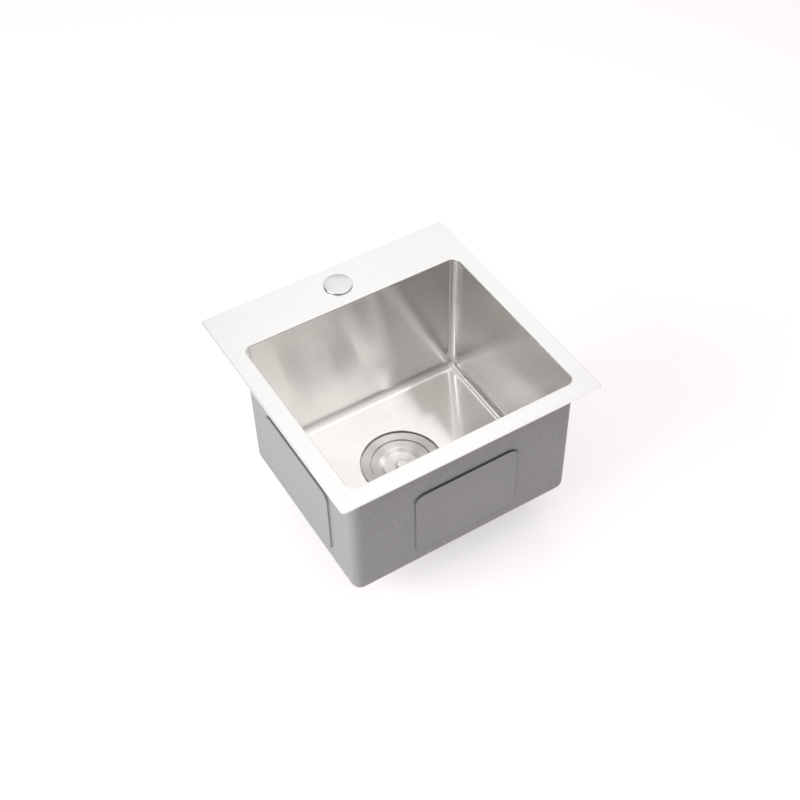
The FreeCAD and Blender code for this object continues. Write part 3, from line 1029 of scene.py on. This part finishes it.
def build_knob():
    neck = 5.5 * MM
    foot = 7.0 * MM
    outline = rounded_outline([
        (0.0, knob_high.z, 0.0),
        (knob_radius - 0.4 * MM, knob_high.z - 0.2 * MM, 2.2 * MM),
        (knob_radius, knob_high.z - 3.0 * MM, 0.6 * MM),
        (neck, knob_high.z - 3.0 * MM, 0.6 * MM),
        (neck, knob_low.z + 1.2 * MM, 0.5 * MM),
        (foot, knob_low.z + 1.2 * MM, 0.3 * MM),
        (foot, knob_low.z, 0.0),
        (screw_hole_radius, knob_low.z, 0.0),
        (screw_hole_radius, knob_low.z + 4.0 * MM, 0.0),
        (0.0, knob_low.z + 4.0 * MM, 0.0),
    ])
    return turned_piece("mushroom_knob", outline, drain_centre, segments=96)


def cross_recess(radius, height, turn):
    """Sinks a cross into the screw head's face."""
    if height > screw_low.z + 0.35 * MM or radius > recess_radius:
        return radius, height
    arm = min(abs(math.sin(turn)), abs(math.cos(turn))) * radius
    share = min(max((arm - recess_arm) / recess_slope, 0.0), 1.0)
    return radius, height + recess_depth * (1 - share)


def build_screw():
    shoulder = screw_low.z + screw_head_height
    face = []
    for row in range(screw_face_rows + 1):
        face.append(Vector((screw_face_radius * (1 - row / screw_face_rows), screw_low.z)))
    outline = rounded_outline([
        (0.0, screw_high.z, 0.0),
        (screw_radius, screw_high.z, 0.3 * MM),
        (screw_radius, shoulder, 0.0),
        (screw_head_radius, shoulder, 0.2 * MM),
        (screw_head_radius, screw_low.z + 0.2 * MM, 0.9 * MM),
    ])
    return turned_piece("cross_screw", outline + face, drain_centre, segments=96, form=cross_recess)


knob_chrome = polished_metal("knob_chrome", (0.72, 0.70, 0.69), roughness=0.1)
fit_piece(build_knob(), knob_chrome, "lid", "knob_chrome", "lid_knob")
fit_piece(build_screw(), basket_steel, "lid", "basket_steel", "lid_screw")


# Tap-hole plug: a domed polished cap with a soft ring under its edge, held in the hole by a cross of
# spring steel with bent legs.
cap_radius = (cap_high.x - cap_low.x) / 2
cap_edge = 1.8 * MM
cap_edge_round = 0.8 * MM
dome_rows = 12


def build_cap():
    crown = cap_high.z - cap_low.z - cap_edge
    sphere = (cap_radius ** 2 + crown ** 2) / (2 * crown)
    dome = []
    for row in range(dome_rows + 1):
        radius = (cap_radius - cap_edge_round) * row / dome_rows
        height = cap_high.z - sphere + math.sqrt(sphere ** 2 - radius ** 2)
        dome.append(Vector((radius, height)))
    edge = rounded_outline([
        (dome[-1].x, dome[-1].y, 0.0),
        (cap_radius, cap_low.z + cap_edge, cap_edge_round),
        (cap_radius, cap_low.z, 0.3 * MM),
        (0.0, cap_low.z, 0.0),
    ])
    return turned_piece("domed_cap", dome + edge[1:], tap_centre, segments=144)


cap_chrome = polished_metal("cap_chrome", (0.715, 0.705, 0.712), roughness=0.16)
fit_piece(build_cap(), cap_chrome, "plug", "cap_chrome", "plug_cap")
plug_seal_low, plug_seal_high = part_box("plug_seal")
plug_seal_inner = (plug_seal_high.x - plug_seal_low.x) / 2 - 1.8 * MM
cap_ring = build_ring("cap_ring", "plug_seal", plug_seal_inner, 0.25 * MM, tap_centre)
fit_piece(cap_ring, gasket_rubber, "plug", "gasket_rubber", "plug_seal")
spring_steel = brushed_steel(
    "spring_steel", (0.50, 0.50, 0.51), straight_lay, roughness=0.3, anisotropy=0.3)
dress_solids(spring_steel, "plug_spring")


# Studio: a white floor that keeps a soft shadow, four soft lamps (left, back, front and top) and a
# white surround that shows in the metal, shaded at the back left.
floor_half = 6.0
floor_colour = (0.84, 0.79, 0.79, 1.0)
floor_glow = 0.42
lamp_target = (0.0, 0.0, -0.1)
fill_light = 0.55
left_shade = 0.85
floor_z = cad_box[0].z


def build_floor():
    mesh = bmesh.new()
    corners = [(-1, -1), (1, -1), (1, 1), (-1, 1)]
    mesh.faces.new([mesh.verts.new((x * floor_half, y * floor_half, floor_z)) for x, y in corners])
    data = bpy.data.meshes.new("studio_floor")
    mesh.to_mesh(data)
    mesh.free()
    floor = bpy.data.objects.new("studio_floor", data)
    bpy.context.collection.objects.link(floor)
    finish = new_finish("studio_floor")
    path = finish.node("ShaderNodeLightPath", {}, {}, None)
    seen_in_metal = Value(finish, path.outputs["Is Glossy Ray"])
    seen = Value(finish, path.outputs["Is Camera Ray"]).or_more(seen_in_metal)
    diffuse = finish.node("ShaderNodeBsdfDiffuse", {}, {"Color": floor_colour}, "BSDF")
    glow = finish.node("ShaderNodeEmission", {}, {"Strength": floor_glow * seen}, "Emission")
    both = finish.node("ShaderNodeAddShader", {}, {"Shader": diffuse, "Shader_001": glow}, "Shader")
    finish.node("ShaderNodeOutputMaterial", {}, {"Surface": both}, None)
    data.materials.append(finish.owner)
    return floor


build_floor()


def add_lamp(name, place, width, height, watts, tint=(1.0, 1.0, 1.0)):
    """Rectangular soft lamp that faces the sink."""
    light = bpy.data.lights.new(name, "AREA")
    light.shape = "RECTANGLE"
    light.size = width
    light.size_y = height
    light.energy = watts
    light.color = tint
    lamp = bpy.data.objects.new(name, light)
    lamp.location = place
    lamp.rotation_euler = (Vector(lamp_target) - Vector(place)).to_track_quat("-Z", "Y").to_euler()
    bpy.context.collection.objects.link(lamp)


add_lamp("left_softbox", (-1.7, 0.1, 0.7), width=1.4, height=1.4, watts=26.8, tint=(0.94, 0.97, 1.0))
add_lamp("back_softbox", (0.75, 1.27, 1.55), width=1.4, height=1.4, watts=2.7)
add_lamp("front_softbox", (0.67, -1.05, 1.68), width=1.8, height=1.8, watts=7.5)
add_lamp("top_softbox", (0.1, -0.1, 2.0), width=2.0, height=1.6, watts=6.0)

surround = Finish(bpy.data.worlds.new("white_surround"))
bpy.context.scene.world = surround.owner
ray = surround.node("ShaderNodeLightPath", {}, {}, None)
seen_straight = Value(surround, ray.outputs["Is Camera Ray"])
seen_through = Value(surround, ray.outputs["Is Transmission Ray"])
seen_in_metal = Value(surround, ray.outputs["Is Glossy Ray"]).or_more(seen_through)
outward = surround.node("ShaderNodeTexCoord", {}, {}, "Generated")
rightward, backward, upward = surround.axes(outward)
back_left = (1.0 - surround.rise(rightward, -0.3, 0.0)) * surround.rise(backward, 0.0, 0.3)
shade = 1.0 - left_shade * back_left * (1.0 - surround.rise(upward, 0.8, 0.95))
level = fill_light + (1.0 - fill_light) * seen_straight + (shade - fill_light) * seen_in_metal
sky = surround.node("ShaderNodeBackground", {}, {"Strength": level}, "Background")
surround.node("ShaderNodeOutputWorld", {}, {"Surface": sky}, None)

bpy.context.scene.view_settings.view_transform = "Standard"


# Camera: the photograph's own viewpoint, above the front left of the sink.
camera_eye = Vector((-0.60598, -1.03492, 1.23813))
camera_right = Vector((0.851888, -0.523457, -0.016699))
camera_up = Vector((0.39783, 0.626044, 0.670671))
lens_mm = 59.41

camera_data = bpy.data.cameras.new("photo_camera")
camera_data.sensor_width = 36.0
camera_data.lens = lens_mm
camera = bpy.data.objects.new("photo_camera", camera_data)
camera_back = camera_right.cross(camera_up)
axes = Matrix((camera_right, camera_up, camera_back)).transposed()
camera.matrix_world = Matrix.Translation(camera_eye) @ axes.to_4x4()
bpy.context.collection.objects.link(camera)
bpy.context.scene.camera = camera
